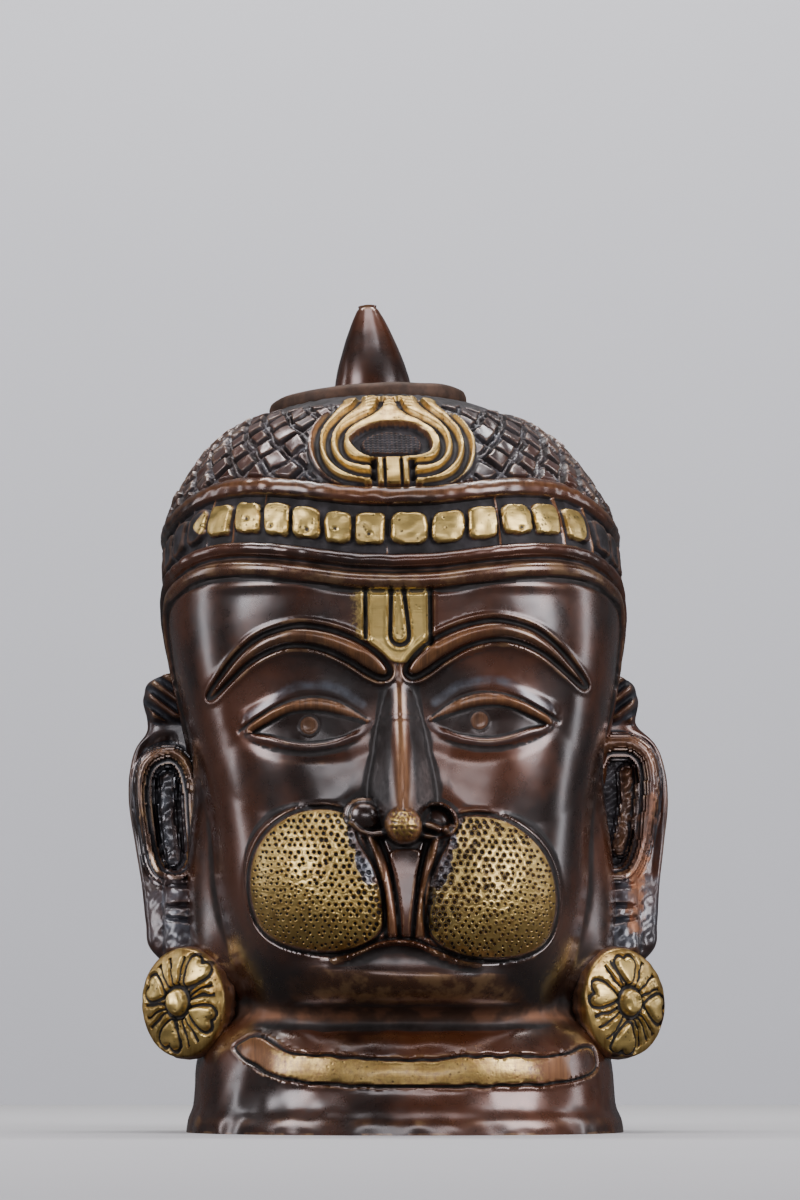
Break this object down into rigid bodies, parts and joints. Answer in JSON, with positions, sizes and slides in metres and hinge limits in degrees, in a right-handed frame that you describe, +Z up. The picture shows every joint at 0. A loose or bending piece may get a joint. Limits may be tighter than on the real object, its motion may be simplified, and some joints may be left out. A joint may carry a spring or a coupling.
{
  "type": "cast brass Hanuman mask",
  "caption": "Cast brass Hanuman head mask, hollow and open at the back, standing on its own flared neck, with netted crown, jewelled band and flower ear rings.",
  "frame": {"origin": "on the floor, under the middle of the mask's length and width", "axes": "+Z up towards the finial; the face looks towards -Y; +X to the viewer's right"},
  "size_m": [0.1986, 0.1431, 0.3053],
  "materials": {
    "antique_brass": "dark brown lacquered patina, polished to gold on the cheek pouches, forehead mark, band tablets, crown mark, ear flowers and necklace"
  },
  "bodies": {
    "root": {"hanuman_mask": "antique_brass"}
  },
  "joints": []
}
